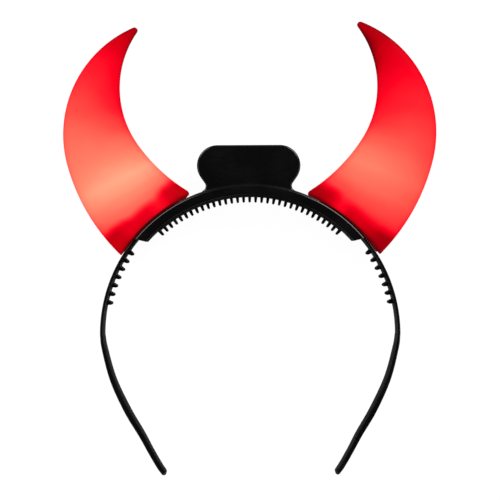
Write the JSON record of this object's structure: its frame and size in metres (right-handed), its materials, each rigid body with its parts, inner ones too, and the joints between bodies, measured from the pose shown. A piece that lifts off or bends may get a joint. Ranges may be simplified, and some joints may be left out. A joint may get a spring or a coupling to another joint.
{
  "type": "light-up devil horns headband",
  "caption": "Arched plastic comb headband with an upright tab on its crown and a pair of curved, hollow, translucent horns that light up from inside.",
  "frame": {"origin": "under the middle of the whole object, on the surface that it lies on", "axes": "+X to the right seen from the front, +Y from the band's tips to the horns' tips, +Z out of the front"},
  "size_m": [0.1628, 0.1964, 0.016],
  "materials": {
    "band_black": "black moulded plastic, half gloss",
    "housing_black": "black moulded plastic, half gloss",
    "comb_black": "black moulded plastic, half gloss",
    "horn_red": "translucent red plastic, satin, lit from inside",
    "lamp_dark": "dark moulded plastic with red lamps"
  },
  "bodies": {
    "root": {"headband": "band_black", "crown_housing": "housing_black", "comb_strip": "comb_black", "horn_left": "horn_red", "horn_right": "horn_red", "lamp_base_left": "lamp_dark", "lamp_base_right": "lamp_dark"}
  },
  "joints": []
}
